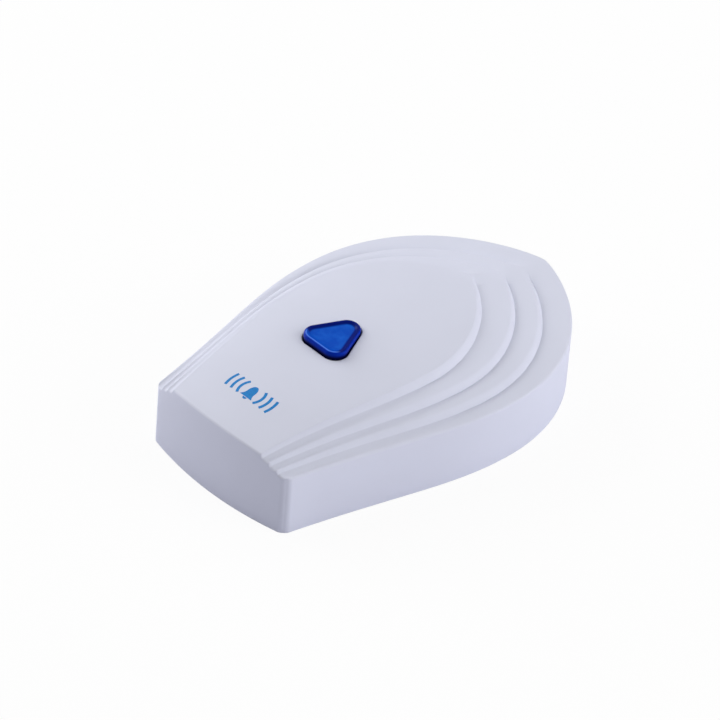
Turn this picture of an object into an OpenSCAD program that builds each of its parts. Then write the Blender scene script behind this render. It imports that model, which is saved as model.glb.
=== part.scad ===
// Wireless doorbell push: a battery radio transmitter with one lit button, for a wall by the door.
// Millimetres. The origin is the middle of the back face, +Z points out of the wall and +Y up it.

/* [Body] */
// Length from the flat end to the tip
body_length = 85; // [82:0.5:90]
// Width at the widest place
body_width = 54.7; // [53:0.1:60]
// Width across the corners of the flat end
end_width = 35.5; // [34.5:0.5:38]
// Bow of the flat end, from its middle to its corners
end_bow = 2.3; // [1.5:0.1:2.8]
// Height of the widest place above the middle of the length
widest_y = 7.4; // [5:0.2:10]
// Height of the side walls off the wall
rim_height = 12.8; // [12.6:0.1:15]
// Upright rounding of the two corners
corner_round = 1.2; // [0.9:0.1:1.8]
// Rounding along the top edges
edge_round = 0.4; // [0.3:0.1:0.8]
// Thickness of the skirt
wall = 2; // [1.8:0.1:2.2]
// Thickness of the roof
roof = 2; // [1.6:0.1:2.4]

/* [Face] */
// Height of the face at the flat end
face_end_z = 16.5; // [16:0.1:18]
// Height of the face's long arch over the tip
face_far_z = 15; // [14:0.1:16]
// Rise of the arch over its two ends
face_rise = 5.4; // [5:0.1:6.5]
// Radius of the face across its width
face_radius = 75; // [65:1:100]
// Width of the face at the flat end
face_end_width = 23.4; // [22:0.2:25]
// Width of the face at its widest place
face_width = 33.4; // [32:0.1:35]
// Height of that widest place above the middle of the length
face_widest_y = -4.4; // [-7:0.2:-3]
// Height of the face's tip above the middle of the length
face_tip_y = 21.2; // [19:0.2:23]
// Depth of the terrace steps at the flat end
step_end = 0.45; // [0.2:0.05:0.6]
// Depth of the terrace steps along the sides
step_side = 0.85; // [0.6:0.05:1.2]
// Run of the terrace steps where the terraces are broad
step_run = 1.5; // [1.2:0.1:2]

/* [Button] */
// Width of the button's opening
button_width = 10.3; // [9.5:0.1:11]
// Height of the button's opening
button_height = 10.8; // [10:0.1:11.5]
// Middle of the opening along the length
button_y = -12.1; // [-13:0.1:-11]
// Corner radius of the opening
button_round = 2.7; // [2:0.1:3]
// How far the button stands proud of the face
button_proud = 1; // [0.6:0.1:1.4]
// Rounding of the rim round the button's top
button_bevel = 0.5; // [0.3:0.1:0.8]
// Depth of the dish in the button's top
button_dish = 0.35; // [0.2:0.05:0.5]
// Run of the slope from the button's rim down to the dish
dish_run = 0.8; // [0.6:0.1:1.2]
// Gap round the button
button_gap = 0.2; // [0.15:0.05:0.3]
// Travel of the button and of the switch
button_travel = 0.3; // [0.2:0.05:0.4]
// Reach of the flange that keeps the button in
flange_reach = 1.2; // [0.8:0.1:1.5]
// Thickness of that flange
flange_t = 1; // [0.8:0.1:1.2]

/* [Back plate] */
// Thickness of the back plate
plate_t = 2; // [1.6:0.1:2.2]
// Thickness of the skirt's lip round the back plate
lip = 1.2; // [1:0.1:1.4]
// Gap between the back plate and the lip
plate_gap = 0.15; // [0.1:0.05:0.2]
// Diameter of the two wall screw holes
hole_d = 4.2; // [3.5:0.1:5]
// Distance between the wall screw holes
hole_spacing = 58; // [56:1:60]
// Height of the upper screw hole above the middle of the length
upper_hole_y = 31; // [30:0.5:32]

/* [Circuit board] */
// Thickness of the circuit board
board_t = 1.6; // [1:0.1:1.8]
// Space between the back plate and the board
board_gap = 5.4; // [5:0.1:5.8]
// Width of the board beside the flat end
board_width = 30; // [28:0.5:31]
// Height of the push switch over the board
switch_h = 7; // [6:0.5:7.5]
// Side of the push switch's square body
switch_side = 6; // [5.5:0.5:6.5]
// Shank diameter of the board screws
screw_d = 2; // [1.6:0.1:2.4]

/* [Battery] */
// Diameter of the battery
battery_d = 10.3; // [9.8:0.1:10.5]
// Length of the battery over its terminal
battery_length = 28.5; // [27.5:0.1:29]
// Length of the spring with the battery in place
spring_length = 3.2; // [2.8:0.1:3.6]
// Wire diameter of the spring
spring_wire = 0.5; // [0.4:0.05:0.6]

/* [Hidden] */
$fn = 48;
slack = 0.1;
over = 1;

// What shapes an outline: shares of its flank's straight start and round end, and of its full and blunt tip
rim_shape = [0.515, 0.295, 0.765, 0.1];
face_shape = [0.423, 0.307, 0.67, 0.1];
// Crests of the three steps as shares of the way from the face to the rim, along the flank and at the tip
flank_crests = [0, 0.318, 0.626, 1];
tip_crests = [0, 0.407, 0.677, 1];
// Places across a tread, from the foot of its step to the next crest
tread_places = [0, 0.2, 0.45, 0.75];
tread_bend = 3;
half_turn = 1 - cos(45);
// Stretch of stations over which the steps run out to nothing before the tip
tip_fade = 0.2;
// Stretch of stations over which the bow of the flat end dies away
bow_fade = 0.3;
flank_stations = 18;
tip_stations = 16;
station_bend = 1.25;
// Stations beside the corner, as shares of its rounding
corner_stations = [0, 0.27, 0.55, 1, 2];
face_columns = 5;
end_points = 16;

// Board, switch and button levels
board_z = plate_t + board_gap;
board_top = board_z + board_t;
plunger_top = board_top + switch_h;
button_low_y = button_y - button_height / 2;
button_high_y = button_y + button_height / 2;
collar_z = face_z(button_width / 2, button_low_y) - roof - 0.6;
collar_wall = 2;
flange_top = collar_z - slack;
button_top = face_z(0, button_y) + button_proud;
switch_at = [0, button_y - 1.15];

// Battery place, across the width above the board
battery_y = 17.5;
battery_gap = 0.2;
battery_z = plate_t + 0.4 + battery_d / 2;
terminal_length = 1.2;
contact_t = 0.4;
contact_x = (battery_length + spring_length) / 2;
can_left = terminal_length - contact_x;
can_length = battery_length - terminal_length;
cradle_x = 8;
cradle_t = 1.6;
cradle_side = 1.5;
contact_width = 8;

// Board outline: the main area, and two arms that carry the battery contacts
board_low_y = 7.5 - body_length / 2;
board_notch_y = battery_y - battery_d / 2 - cradle_side - 0.3;
arm_in = contact_x + contact_t + slack;
arm_out = arm_in + 3.2;
arm_top_y = battery_y + contact_width / 2 + 1;
shoulder_low_y = -6;
shoulder_high_y = -1;

// Places of the parts on the board
screw_places = [[-11, board_low_y + 5], [11, board_low_y + 5], [0, 7.2]];
chip_at = [-9, -5];
resonator_at = [9.5, -4.5];
transistor_at = [8.5, -13];
coil_at = [8.5, board_low_y + 12.2];
led_at = [0, switch_at[1] + switch_side / 2 + 2.6];
capacitor_at = [-10.5, 5];
resistor_places = [[-9, -12], [-9, -15], [-9, -18], [10, 4]];
small_capacitor_places = [[-9, -22], [3, -20], [-3, -20], [10, 7.5]];
lead_reach = 1.2;
lead_hole_gap = 0.2;

// Snap hooks of the back plate, and the catches that hold them
snap_stations = [0.55, 1.14];
snap_width = 7;
catch_depth = 0.8;
catch_z = plate_t + 3;
catch_h = 1.2;
arm_t = 1.2;
barb_h = 1.4;

function mix(a, b, t) = a + (b - a) * t;

function unit(v) = v / norm(v);

function bezier(a, b, c, d, u) =
    pow(1 - u, 3) * a + 3 * u * pow(1 - u, 2) * b + 3 * u * u * (1 - u) * c + pow(u, 3) * d;

// Line of the flat end, bowed outwards
function bow_y(x) = -body_length / 2 + end_bow * pow(2 * x / end_width, 2);

// One half of a pointed outline: stations 0 to 1 climb the flank and 1 to 2 go round to the tip
function outline_point(start, widest, tip, shape, v) =
    v <= 1
    ? bezier(start, mix(start, widest, shape[0]), widest - [0, shape[1] * (widest - start)[1]], widest, v)
    : bezier(widest, widest + [0, shape[2] * (tip - widest)[1]],
             tip + [shape[3] * widest[0], 0], tip, v - 1);

function rim_point(v) =
    outline_point([end_width / 2, bow_y(end_width / 2)], [body_width / 2, widest_y],
                  [0, body_length / 2], rim_shape, v);

function face_point(v) =
    outline_point([face_end_width / 2, bow_y(face_end_width / 2)], [face_width / 2, face_widest_y],
                  [0, face_tip_y], face_shape, v);

function cavity_point(v) =
    outline_point([end_width / 2 - wall, bow_y(end_width / 2 - wall) + wall],
                  [body_width / 2 - wall, widest_y], [0, body_length / 2 - wall * 1.1], rim_shape, v);

// Squeezes the square corner beside the flat end into a quarter round
function round_corner(p) =
    let (corner = rim_point(0),
         along = unit(rim_point(0.1) - corner),
         from_flank = corner[0] + (p[1] - corner[1]) * along[0] / along[1] - p[0],
         from_end = p[1] - bow_y(p[0]),
         a = 1 - from_flank / corner_round,
         b = 1 - from_end / corner_round)
    a <= 0 || b <= 0 ? p
    : p + corner_round * [a * sqrt(1 - b * b / 2) - a, b - b * sqrt(1 - a * a / 2)];

// Height of the arched face, which the terraces step down from
function face_z(x, y) =
    mix(face_end_z, face_far_z, y / body_length + 0.5)
    + face_rise * (1 - pow(2 * y / body_length, 2)) - x * x / (2 * face_radius);

function step_depth(v) = mix(step_end, step_side, min(1, v)) * min(1, pow((2 - v) / tip_fade, 2));

function crest_share(v, j) = mix(flank_crests[j], tip_crests[j], max(0, v - 1));

// Share of terrace j that its step takes at a station: a steady run, less where the terrace is narrow
function step_share(v, j) =
    let (along = unit(face_point(min(2, v + 0.01)) - face_point(v - 0.01)),
         across = rim_point(v) - face_point(v),
         width = abs(cross(along, across)) * (crest_share(v, j + 1) - crest_share(v, j)))
    step_run / (width + step_run);

// Crossings of the terraces at a station, from the rim inwards: share of the way, share of the step depth
function terrace_columns(v) =
    [for (j = [2 : -1 : 0])
        let (inside = crest_share(v, j), outside = crest_share(v, j + 1), s = step_share(v, j))
        each concat([for (k = [len(tread_places) - 1 : -1 : 0])
                        let (place = tread_places[k])
                        [mix(inside, outside, mix(s, 1, place)), pow(1 - place, tread_bend)]],
                    [[inside, 0]])];

function rim_edge_share(v) = edge_round / norm(rim_point(v) - face_point(v));

// A point a share of the way from the face to the rim, on a row that is bowed beside the flat end
function ramp_point(v, share) =
    let (inside = face_point(v),
         outside = rim_point(v),
         p = mix(inside, outside, share),
         chord = mix(bow_y(inside[0]), bow_y(outside[0]), share))
    p + [0, (bow_y(p[0]) - chord) * max(0, 1 - v / bow_fade)];

function terrace_point(v, t, drop) =
    let (share = t * (1 - rim_edge_share(v)),
         p = ramp_point(v, share),
         q = round_corner(p))
    [q[0], q[1], rim_height + (1 - share) * (face_z(p[0], p[1]) - rim_height) - step_depth(v) * drop];

// A point of the middle field, share u of the way from the axis to an edge point
function field_point(edge, v, u) =
    let (x = edge[0] * u)
    [x, edge[1] + (bow_y(x) - bow_y(edge[0])) * max(0, 1 - v / bow_fade)];

flank_speed = 3 * rim_shape[0] * norm(rim_point(1) - rim_point(0));
stations = concat(corner_round / flank_speed * corner_stations,
                  [for (i = [2 : flank_stations]) i / flank_stations],
                  [for (i = [1 : tip_stations]) 1 + pow(i / tip_stations, station_bend)]);

// Half rib of the outside at one station: up the skirt, over the rim and the terraces, to the axis
function outer_rib(v) =
    let (foot = round_corner(rim_point(v)),
         edge = face_point(v),
         soft = round_corner(ramp_point(v, 1 - half_turn * rim_edge_share(v))),
         sink = v == 0 ? edge_round * 0.6 : 0)
    concat(
        [[foot[0], foot[1], 0], [foot[0], foot[1], rim_height - edge_round],
         [soft[0], soft[1], rim_height - edge_round * half_turn]],
        [for (c = concat([[1, 0]], terrace_columns(v))) terrace_point(v, c[0], c[1]) - [0, 0, sink]],
        [for (k = [face_columns - 1 : -1 : 0])
            let (p = field_point(edge, v, k / face_columns))
            [p[0], p[1], face_z(p[0], p[1]) - sink]]);

// Half rib of the hollow: the same lines, a wall and a roof further in, with no steps
function inner_rib(v) =
    let (edge = face_point(v) + [0, wall * max(0, 1 - v / bow_fade)],
         foot = cavity_point(v),
         reach = norm(foot - edge) / (norm(foot - edge) + wall))
    concat(
        [[foot[0], foot[1], -over]],
        [for (q = [1, 0.66, 0.33, 0])
            let (p = mix(edge, foot, q), t = q * reach)
            [p[0], p[1], rim_height + (1 - t) * (face_z(p[0], p[1]) - rim_height) - step_side - roof]],
        [for (u = [0.75, 0.4, 0])
            let (p = field_point(edge, v, u))
            [p[0], p[1], face_z(p[0], p[1]) - step_side * u - roof]]);

function mirrored(rib) =
    concat(rib, [for (k = [len(rib) - 2 : -1 : 0]) [-rib[k][0], rib[k][1], rib[k][2]]]);

// Closed solid through a row of half ribs, with its flat end upright and its underside level
module ribbed_solid(half_ribs) {
    ribs = [for (r = half_ribs) mirrored(r)];
    n = len(ribs);
    m = len(ribs[0]);
    low = ribs[0][0][2];
    points = concat([for (r = ribs, p = r) p], [for (p = ribs[0]) [p[0], p[1], low]]);
    skin = [for (i = [0 : n - 2], k = [0 : m - 2])
        each [[i * m + k, i * m + k + 1, (i + 1) * m + k + 1],
              [i * m + k, (i + 1) * m + k + 1, (i + 1) * m + k]]];
    end = [for (k = [0 : m - 2])
        each [[k, n * m + k, n * m + k + 1], [k, n * m + k + 1, k + 1]]];
    underside = concat([for (i = [0 : n - 1]) i * m],
                       [for (i = [n - 1 : -1 : 0]) i * m + m - 1],
                       [for (k = [m - 2 : -1 : 1]) n * m + k]);
    polyhedron(points, concat(skin, end, [underside]));
}

// Outline of the whole body on the wall, from the corner round the tip and back along the flat end
function body_outline() =
    let (right = [for (v = stations) round_corner(rim_point(v))],
         end = [for (k = [end_points - 1 : -1 : 1])
             let (x = end_width / 2 * k / end_points) round_corner([x, bow_y(x)])])
    concat(right, [for (i = [len(right) - 2 : -1 : 0]) [-right[i][0], right[i][1]]],
           [for (p = end) [-p[0], p[1]]], [[0, bow_y(0)]],
           [for (k = [len(end) - 1 : -1 : 0]) end[k]]);

// Rounded triangle of the button, grown by delta
function button_outline(delta, steps = 7) =
    let (x = button_width / 2 - button_round,
         low = button_low_y + button_round,
         high = button_high_y - button_round,
         lean = atan2(x, high - low),
         r = button_round + delta,
         arcs = [[[x, low], -90, lean], [[0, high], lean, 180 - lean], [[-x, low], 180 - lean, 270]])
    [for (a = arcs, k = [0 : steps])
        let (w = mix(a[1], a[2], k / steps)) a[0] + r * [cos(w), sin(w)]];

// Solid through level rings, given as [growth of the button's outline, height]
module button_stack(levels) {
    rings = [for (l = levels) [for (p = button_outline(l[0])) [p[0], p[1], l[1]]]];
    m = len(rings[0]);
    n = len(rings);
    sides = [for (i = [0 : n - 2], k = [0 : m - 1])
        let (next = (k + 1) % m)
        each [[i * m + k, (i + 1) * m + k, (i + 1) * m + next],
              [i * m + k, (i + 1) * m + next, i * m + next]]];
    polyhedron([for (r = rings, p = r) p],
               concat(sides, [[for (k = [0 : m - 1]) k], [for (k = [m - 1 : -1 : 0]) (n - 1) * m + k]]));
}

// Round tube along a row of points, as one unbroken skin of triangles
module tube(path, d, across, sides = 6) {
    n = len(path);
    rings = [for (i = [0 : n - 1])
        let (t = unit(path[min(i + 1, n - 1)] - path[max(i - 1, 0)]),
             a = unit(across - (across * t) * t),
             b = cross(t, a))
        [for (k = [0 : sides - 1]) path[i] + d / 2 * (a * cos(360 * k / sides) + b * sin(360 * k / sides))]];
    skin = [for (i = [0 : n - 2], k = [0 : sides - 1])
        let (next = (k + 1) % sides)
        each [[i * sides + k, (i + 1) * sides + k, (i + 1) * sides + next],
              [i * sides + k, (i + 1) * sides + next, i * sides + next]]];
    polyhedron([for (r = rings, p = r) p],
               concat(skin, [[for (k = [0 : sides - 1]) k],
                             [for (k = [sides - 1 : -1 : 0]) (n - 1) * sides + k]]));
}

// Least distance between turns of a wound path, from surface to surface
function turn_gap(path, d, turn_steps) =
    min([for (i = [0 : len(path) - 1], j = [i + turn_steps - 2 : len(path) - 1])
        if (j < len(path)) norm(path[i] - path[j])]) - d;

// Puts its children on the hollow's wall at a station, +X out through the wall and +Y along it
module on_wall(v, side) {
    p = cavity_point(v);
    along = cavity_point(v + 0.02) - cavity_point(v - 0.02);
    mirror([side < 0 ? 1 : 0, 0, 0])
        translate(p) rotate(atan2(along[1], along[0]) - 90) children();
}

module at(place, z = 0) {
    translate([place[0], place[1], z]) children();
}

// Bar across the width at the battery, from its middle outwards
module cradle_bar(x, low, high) {
    width = battery_d + 2 * cradle_side;
    translate([x - cradle_t / 2, battery_y - width / 2, low]) cube([cradle_t, width, high - low]);
}

module battery_space(gap) {
    translate([-battery_length, battery_y, battery_z]) rotate([0, 90, 0])
        cylinder(d = battery_d + 2 * gap, h = 2 * battery_length);
}

// What is moulded under the roof: screw bosses, the battery cradle and the button's collar
module roof_fixtures() {
    for (p = screw_places) at(p, board_top) cylinder(d = screw_d + 3, h = body_width);
    difference() {
        for (x = [-cradle_x, cradle_x]) cradle_bar(x, battery_z, body_width);
        battery_space(battery_gap);
    }
    translate([0, 0, collar_z])
        linear_extrude(body_width) polygon(button_outline(collar_wall));
}

module front_cover() {
    inner_ribs = [for (v = stations) if (v == 0 || v > 0.1) inner_rib(v)];
    color("#dcdfe8") difference() {
        union() {
            difference() {
                ribbed_solid([for (v = stations) outer_rib(v)]);
                ribbed_solid(inner_ribs);
                translate([0, 0, -over])
                    linear_extrude(plate_t + over) offset(delta = -lip) polygon(body_outline());
            }
            intersection() {
                roof_fixtures();
                translate([0, 0, roof / 2]) ribbed_solid(inner_ribs);
            }
            for (side = [-1, 1], v = snap_stations) on_wall(v, side)
                translate([-catch_depth, -snap_width / 2, catch_z])
                    cube([catch_depth + wall / 2, snap_width, catch_h]);
        }
        translate([0, 0, collar_z - over])
            linear_extrude(button_top) polygon(button_outline(0));
        for (p = screw_places) at(p, board_top - over)
            cylinder(d = screw_d + slack, h = screw_grip + 2 * over);
    }
}

// Snap arm on the back plate, with a barb that rests over its catch
module snap_hook() {
    face = -catch_depth - slack;
    low = catch_z + catch_h + slack;
    rotate([90, 0, 0]) linear_extrude(snap_width - 1, center = true)
        polygon([[face - arm_t, plate_t - slack], [face, plate_t - slack], [face, low],
                 [face + 0.6, low], [face, low + barb_h], [face - arm_t, low + barb_h]]);
}

module back_plate() {
    pry_width = 8;
    color("#c9ccd6") difference() {
        union() {
            linear_extrude(plate_t) offset(delta = -lip - plate_gap) polygon(body_outline());
            for (y = [upper_hole_y, upper_hole_y - hole_spacing])
                translate([0, y, plate_t - slack]) cylinder(d = hole_d + 4, h = slack + 0.8);
            for (side = [-1, 1], v = snap_stations) on_wall(v, side) snap_hook();
            difference() {
                for (x = [-cradle_x, cradle_x])
                    cradle_bar(x, plate_t - slack, battery_z - battery_d / 2 + 1.2);
                battery_space(slack);
            }
        }
        for (y = [upper_hole_y, upper_hole_y - hole_spacing])
            translate([0, y, -over]) cylinder(d = hole_d, h = plate_t + 2 * over);
        translate([-pry_width / 2, -body_length / 2, -over])
            cube([pry_width, lip + plate_gap + 1.2, over + plate_t / 2]);
    }
}

module push_button() {
    low = flange_top - flange_t;
    color("#0a50be") union() {
        button_stack([[flange_reach, low], [flange_reach, flange_top], [-button_gap, flange_top],
                      [-button_gap, button_top - button_bevel],
                      [-button_gap - button_bevel * 0.3, button_top - button_bevel * 0.3],
                      [-button_gap - button_bevel, button_top],
                      [-button_gap - button_bevel - dish_run, button_top - button_dish]]);
        at(switch_at, plunger_top) cylinder(d = 3.4, h = low - plunger_top + slack);
    }
}

switch_pins = [for (x = [-1, 1], y = [-1, 1])
    switch_at + [x * (switch_side / 2 + 0.15), y * (switch_side / 2 - 0.75)]];
led_pins = [for (x = [-1, 1]) led_at + [x * 1.27, 0]];
resonator_pins = [for (a = [90, 210, 330]) resonator_at + 2.4 * [cos(a), sin(a)]];
coil_d = 5;
coil_turns = 4.5;
coil_pitch = 1.5;
coil_wire = 0.7;
coil_z = board_top + coil_d / 2 + coil_wire / 2 + 0.5;
coil_steps = 8;
coil_path = concat(
    [[coil_at[0] + coil_d / 2, coil_at[1] - coil_turns * coil_pitch / 2, board_z - lead_reach]],
    [for (i = [0 : coil_turns * coil_steps])
        let (w = 360 * i / coil_steps)
        [coil_at[0] + coil_d / 2 * cos(w),
         coil_at[1] + coil_pitch * (i / coil_steps - coil_turns / 2),
         coil_z + coil_d / 2 * sin(w)]],
    [[coil_at[0] - coil_d / 2, coil_at[1] + coil_turns * coil_pitch / 2, board_z - lead_reach]]);
coil_pins = [[coil_path[0][0], coil_path[0][1]],
             [coil_path[len(coil_path) - 1][0], coil_path[len(coil_path) - 1][1]]];

module circuit_board() {
    half = board_width / 2;
    right = [[half, board_low_y], [half, shoulder_low_y], [arm_out, shoulder_high_y],
             [arm_out, arm_top_y], [arm_in, arm_top_y], [arm_in, board_notch_y]];
    left = [for (k = [len(right) - 1 : -1 : 0]) [-right[k][0], right[k][1]]];
    color("#2f7d4a") difference() {
        translate([0, 0, board_z]) linear_extrude(board_t) polygon(concat(right, left));
        for (p = screw_places) at(p, board_z - over)
            cylinder(d = screw_d + 2 * lead_hole_gap, h = board_t + 2 * over);
        for (p = switch_pins) at(p, board_z - over) cylinder(d = 1.1, h = board_t + 2 * over);
        for (p = concat(led_pins, resonator_pins)) at(p, board_z - over)
            cylinder(d = 0.9, h = board_t + 2 * over);
        for (p = coil_pins) at(p, board_z - over)
            cylinder(d = coil_wire + 2 * lead_hole_gap, h = board_t + 2 * over);
    }
}

// Levels inside the push switch
switch_body_h = switch_h / 2;
frame_t = 0.2;
stem_d = 3.4;
foot_d = 4.4;
foot_t = 0.5;

module switch_base() {
    color("#26282c") at(switch_at, board_top) difference() {
        translate([-switch_side / 2, -switch_side / 2, 0]) cube([switch_side, switch_side, switch_body_h]);
        translate([0, 0, switch_body_h - foot_t - 3 * slack - button_travel])
            cylinder(d = foot_d + 2 * slack, h = switch_body_h);
    }
}

module switch_frame() {
    side = switch_side - 0.4;
    color("#c8cacc") at(switch_at, board_top + switch_body_h) difference() {
        translate([-side / 2, -side / 2, 0]) cube([side, side, frame_t]);
        translate([0, 0, -over]) cylinder(d = stem_d + 2 * slack, h = 2 * over);
    }
}

module switch_plunger() {
    foot_top = board_top + switch_body_h - slack;
    color("#1b1c1f") at(switch_at) union() {
        translate([0, 0, foot_top - foot_t]) cylinder(d = foot_d, h = foot_t);
        translate([0, 0, foot_top - slack]) cylinder(d = stem_d, h = plunger_top - foot_top + slack);
    }
}

module switch_legs() {
    color("#c8cacc") for (p = switch_pins)
        translate([p[0] - 0.15, p[1] - 0.35, board_z - lead_reach])
            cube([0.3, 0.7, board_t + lead_reach + switch_body_h / 2]);
}

chip_size = [3.9, 4.9, 1.5];
chip_lift = 0.1;

module encoder_chip() {
    color("#232427") at(chip_at, board_top + chip_lift) difference() {
        translate([-chip_size[0] / 2, -chip_size[1] / 2, 0]) cube(chip_size);
        translate([0.9 - chip_size[0] / 2, chip_size[1] / 2 - 0.9, chip_size[2] - slack])
            cylinder(d = 0.8, h = over);
    }
}

// Gull-wing strip: flat on the board, up, and level into the chip's side
module gull_wing(width, rise) {
    t = 0.2;
    rotate([90, 0, 0]) linear_extrude(width, center = true)
        polygon([[0, rise], [0, rise - t], [0.4, rise - t], [0.4, 0],
                 [1.1, 0], [1.1, t], [0.6, t], [0.6, rise]]);
}

module chip_legs() {
    color("#c8cacc") for (side = [0, 1], k = [-1.5 : 1.5])
        at(chip_at, board_top) mirror([side, 0, 0])
            translate([chip_size[0] / 2, k * 1.27, 0]) gull_wing(0.4, 0.9);
}

module saw_resonator() {
    color("#d0d2d4") at(resonator_at, board_top) rotate_extrude()
        polygon([[0, 0], [4.6, 0], [4.6, 0.5], [4.15, 0.5], [4.15, 2.9], [3.85, 3.2], [0, 3.2]]);
}

module resonator_leads() {
    color("#c8cacc") for (p = resonator_pins)
        at(p, board_z - lead_reach) cylinder(d = 0.5, h = board_t + lead_reach);
}

transistor_size = [1.3, 2.9, 1];

module rf_transistor() {
    color("#232427") at(transistor_at, board_top + chip_lift)
        translate([-transistor_size[0] / 2, -transistor_size[1] / 2, 0]) cube(transistor_size);
}

module transistor_legs() {
    color("#c8cacc") at(transistor_at, board_top) {
        for (y = [-0.95, 0.95]) translate([transistor_size[0] / 2, y, 0]) gull_wing(0.4, 0.6);
        mirror([1, 0, 0]) translate([transistor_size[0] / 2, 0, 0]) gull_wing(0.4, 0.6);
    }
}

module antenna_coil() {
    echo(antenna_turn_gap = turn_gap(coil_path, coil_wire, coil_steps));
    color("#b8793f") tube(coil_path, coil_wire, [0, 1, 0]);
}

led_lift = 1;

module indicator_led() {
    color("#dfe8f4") at(led_at, board_top + led_lift) union() {
        cylinder(d = 3.8, h = 0.9);
        cylinder(d = 3, h = 3.6);
        intersection() {
            translate([0, 0, 3.6]) sphere(d = 3);
            cylinder(d = 3.8, h = 5.2);
        }
    }
}

module led_leads() {
    color("#c8cacc") for (p = led_pins)
        translate([p[0] - 0.25, p[1] - 0.25, board_z - lead_reach])
            cube([0.5, 0.5, board_t + lead_reach + led_lift]);
}

capacitor_base_h = 0.8;

module capacitor_base() {
    side = 4.3;
    color("#26282c") at(capacitor_at, board_top)
        translate([-side / 2, -side / 2, 0]) cube([side, side, capacitor_base_h]);
}

module reservoir_capacitor() {
    color("#c4c7ca") at(capacitor_at, board_top + capacitor_base_h) rotate_extrude()
        polygon([[0, 0], [2, 0], [2, 0.9], [1.85, 1.1], [1.85, 1.3],
                 [2, 1.5], [2, 4.3], [1.8, 4.5], [0, 4.5]]);
}

// The battery lies across the width with its terminal to the left
module along_battery(x) {
    translate([x, battery_y, battery_z]) rotate([0, 90, 0]) children();
}

seal_t = 0.4;
terminal_d = 5;

module battery_can() {
    color("#3a3d44") along_battery(can_left + seal_t) cylinder(d = battery_d, h = can_length - seal_t);
}

module battery_seal() {
    color("#1f5fa8") along_battery(can_left) difference() {
        cylinder(d = battery_d - 0.6, h = seal_t);
        translate([0, 0, -over]) cylinder(d = terminal_d + 2 * slack, h = 2 * over);
    }
}

module battery_terminal() {
    color("#c8cacc") along_battery(-contact_x) cylinder(d = terminal_d, h = terminal_length + seal_t);
}

// Contact strip: upright behind the battery's end, with a foot on the board's arm
module battery_contact() {
    low = battery_z - battery_d / 2 + 1.5;
    high = battery_z + battery_d / 2 - 2;
    color("#d2d4d6") translate([0, battery_y, 0]) rotate([90, 0, 0])
        linear_extrude(contact_width, center = true)
            polygon([[contact_x, low], [contact_x + contact_t, low], [contact_x + contact_t, board_top],
                     [arm_out - 0.6, board_top], [arm_out - 0.6, board_top + contact_t],
                     [contact_x + contact_t, board_top + contact_t], [contact_x + contact_t, high],
                     [contact_x, high]]);
}

module positive_contact() {
    mirror([1, 0, 0]) battery_contact();
}

module negative_contact() {
    battery_contact();
}

spring_turns = 3;
spring_wide = 3.4;
spring_narrow = 1.8;
spring_path = [for (i = [0 : spring_turns * coil_steps])
    let (s = i / (spring_turns * coil_steps), w = 360 * i / coil_steps,
         r = mix(spring_narrow, spring_wide, s))
    [contact_x - spring_length + mix(spring_wire / 2, spring_length - spring_wire / 2, s),
     battery_y + r * cos(w), battery_z + r * sin(w)]];

module negative_spring() {
    echo(spring_turn_gap = turn_gap(spring_path, spring_wire, coil_steps));
    color("#d2d4d6") tube(spring_path, spring_wire, [1, 0, 0]);
}

screw_grip = 5;
screw_slot = 0.5;

module board_screw(i) {
    head_d = screw_d * 1.9;
    head_h = screw_d * 0.7;
    color("#b9bcc0") at(screw_places[i - 1]) difference() {
        union() {
            translate([0, 0, board_z - head_h]) cylinder(d = head_d, h = head_h);
            translate([0, 0, board_z - slack]) cylinder(d = screw_d, h = board_t + slack + screw_grip);
        }
        for (a = [0, 90]) translate([0, 0, board_z - head_h]) rotate(a)
            cube([head_d * 0.6, screw_slot, head_h], center = true);
    }
}

chip_resistor_size = [3.2, 1.6, 0.6];
chip_capacitor_size = [2, 1.3, 0.9];

// Block that stands on the board, middle over a place
module on_board(place, size) {
    at(place, board_top) translate([-size[0] / 2, -size[1] / 2, 0]) cube(size);
}

module chip_resistor(i) {
    color("#2b2b2e") on_board(resistor_places[i - 1], chip_resistor_size);
}

module chip_capacitor(i) {
    color("#b49a72") on_board(small_capacitor_places[i - 1], chip_capacitor_size);
}

front_cover();
back_plate();
push_button();
circuit_board();
switch_base();
switch_frame();
switch_plunger();
switch_legs();
encoder_chip();
chip_legs();
saw_resonator();
resonator_leads();
rf_transistor();
transistor_legs();
antenna_coil();
indicator_led();
led_leads();
reservoir_capacitor();
capacitor_base();
battery_can();
battery_terminal();
battery_seal();
positive_contact();
negative_contact();
negative_spring();
for (i = [1 : 3]) board_screw(i);
for (i = [1 : 4]) chip_resistor(i);
for (i = [1 : 4]) chip_capacitor(i);
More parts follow.
